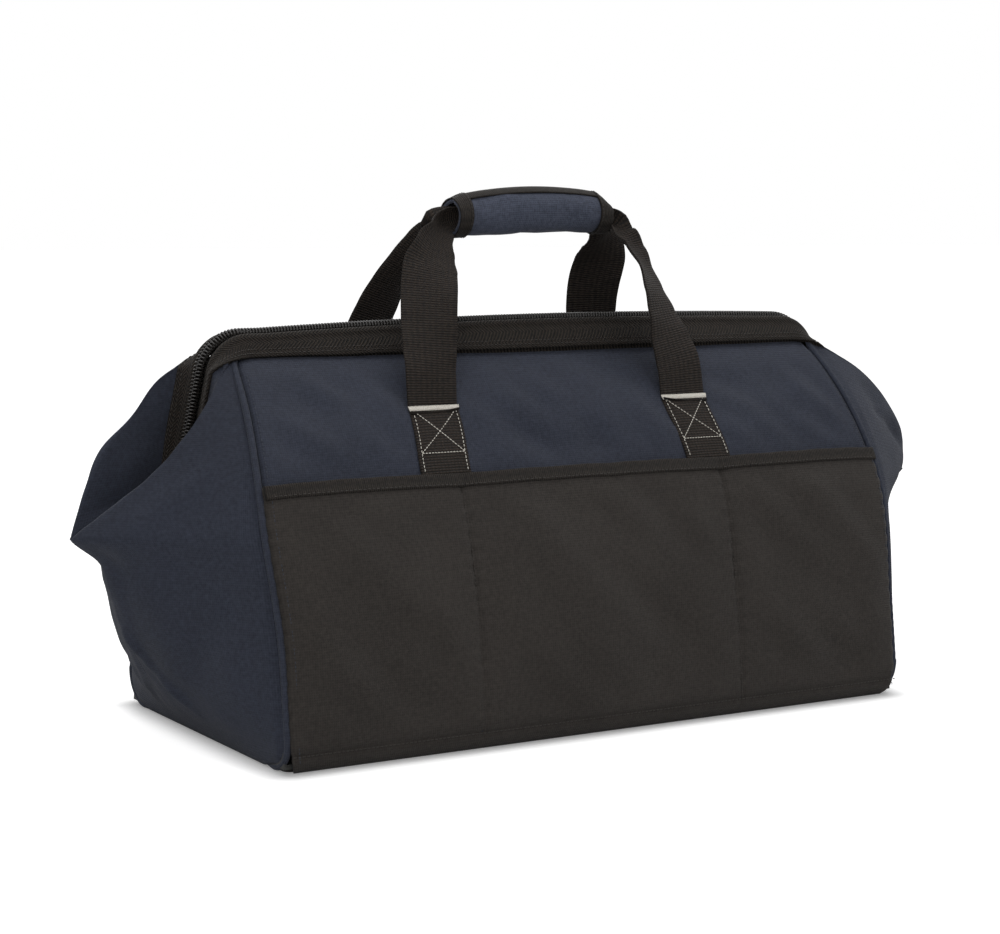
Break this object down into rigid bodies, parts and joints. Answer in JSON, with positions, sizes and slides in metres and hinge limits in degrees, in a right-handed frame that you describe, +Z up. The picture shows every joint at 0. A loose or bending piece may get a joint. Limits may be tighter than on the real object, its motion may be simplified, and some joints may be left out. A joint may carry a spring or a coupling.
{
  "type": "zippered tool bag",
  "caption": "Soft-sided wide-mouth tool bag with outside pockets, folded ends, a wire-framed zip mouth and two webbing handles held in one wrapped grip.",
  "frame": {"origin": "centre of the bag's footprint, on the surface it stands on", "axes": "+X along the length, +Y toward the back wall, +Z up"},
  "size_m": [0.698, 0.2524, 0.3665],
  "materials": {
    "navy_cloth": "matt navy woven polyester",
    "black_cloth": "matt warm black woven polyester",
    "black_webbing": "ribbed black webbing",
    "black_binding": "black grosgrain and herringbone binding",
    "nylon_coil": "semi-gloss black nylon",
    "steel_wire": "zinc plated",
    "black_metal": "black coated metal",
    "stiff_board": "grey stiffening board",
    "hook_and_loop": "black hook and loop tape"
  },
  "bodies": {
    "tub": {"base_panel": "black_cloth", "base_board": "stiff_board", "left_base_piping": "navy_cloth", "left_gusset": "navy_cloth", "left_end_stiffener": "stiff_board", "right_base_piping": "navy_cloth", "right_gusset": "navy_cloth", "right_end_stiffener": "stiff_board"},
    "front_wall": {"front_panel": "navy_cloth", "front_pocket_panel": "black_cloth", "front_pocket_binding": "black_binding", "front_left_piping": "navy_cloth", "front_left_strap_anchor": "black_webbing", "front_right_piping": "navy_cloth", "front_right_strap_anchor": "black_webbing", "front_mouth_sleeve": "black_binding", "front_zip_tape": "black_webbing", "front_zip_coil": "nylon_coil"},
    "back_wall": {"back_panel": "navy_cloth", "back_pocket_panel": "black_cloth", "back_pocket_binding": "black_binding", "back_left_piping": "navy_cloth", "back_left_strap_anchor": "black_webbing", "back_right_piping": "navy_cloth", "back_right_strap_anchor": "black_webbing", "back_mouth_sleeve": "black_binding", "back_zip_tape": "black_webbing", "back_zip_coil": "nylon_coil"},
    "front_frame": {"front_frame_rod": "steel_wire", "left_frame_rivet": "steel_wire", "left_zip_stop": "black_metal", "right_frame_rivet": "steel_wire", "right_zip_stop": "black_metal"},
    "back_frame": {"back_frame_rod": "steel_wire"},
    "front_handle": {"front_handle_strap": "black_webbing"},
    "back_handle": {"back_handle_strap": "black_webbing", "grip_wrap": "navy_cloth", "grip_wrap_left_binding": "black_binding", "grip_wrap_right_binding": "black_binding", "grip_loop_strip": "hook_and_loop"},
    "grip_flap_body": {"grip_flap": "navy_cloth", "grip_flap_left_binding": "black_binding", "grip_flap_right_binding": "black_binding", "grip_flap_edge_binding": "black_binding", "grip_hook_strip": "hook_and_loop"},
    "zip_slider_body": {"zip_slider": "black_metal"},
    "zip_pull_body": {"zip_pull": "black_metal"}
  },
  "joints": [
    {"name": "mouth_open", "type": "hinge", "parent": "tub", "child": "front_wall", "pos_m": [0, -0.1252, 0.0035], "axis": [1, 0, 0], "range_deg": [0, 20], "deforming": ["left_gusset", "right_gusset", "front_mouth_sleeve", "front_zip_tape", "front_zip_coil", "back_mouth_sleeve", "back_zip_tape", "back_zip_coil"]},
    {"name": "back_wall_swing", "type": "hinge", "parent": "tub", "child": "back_wall", "pos_m": [0, 0.1252, 0.0035], "axis": [-1, 0, 0], "range_deg": [0, 20]},
    {"name": "front_frame_swing", "type": "hinge", "parent": "front_wall", "child": "front_frame", "pos_m": [0, -0.012, 0.265], "axis": [1, 0, 0], "range_deg": [0, 36]},
    {"name": "back_frame_swing", "type": "hinge", "parent": "back_wall", "child": "back_frame", "pos_m": [0, 0.012, 0.265], "axis": [-1, 0, 0], "range_deg": [0, 36]},
    {"name": "front_handle_fold", "type": "hinge", "parent": "front_wall", "child": "front_handle", "pos_m": [0, -0.0576, 0.22355], "axis": [1, 0, 0], "range_deg": [0, 150], "deforming": ["grip_flap", "grip_flap_left_binding", "grip_flap_right_binding", "grip_flap_edge_binding", "grip_hook_strip", "grip_loop_strip"]},
    {"name": "back_handle_fold", "type": "hinge", "parent": "back_wall", "child": "back_handle", "pos_m": [0, 0.0576, 0.22355], "axis": [-1, 0, 0], "range_deg": [0, 150]},
    {"name": "grip_flap_open", "type": "hinge", "parent": "back_handle", "child": "grip_flap_body", "pos_m": [0, 0, 0.3279], "axis": [1, 0, 0], "range_deg": [0, 130]},
    {"name": "zip_slide", "type": "slide", "parent": "front_frame", "child": "zip_slider_body", "axis": [-0.2011, 0, 0.9796], "range_m": [0, 0.045]},
    {"name": "zip_pull_swing", "type": "hinge", "parent": "zip_slider_body", "child": "zip_pull_body", "pos_m": [0.27089, 0, 0.18729], "axis": [0, -1, 0], "range_deg": [0, 150]}
  ],
  "couplings": [
    {"joint": "back_wall_swing", "follows": "mouth_open", "ratio": 1},
    {"joint": "front_frame_swing", "follows": "mouth_open", "ratio": 1.8},
    {"joint": "back_frame_swing", "follows": "mouth_open", "ratio": 1.8}
  ]
}
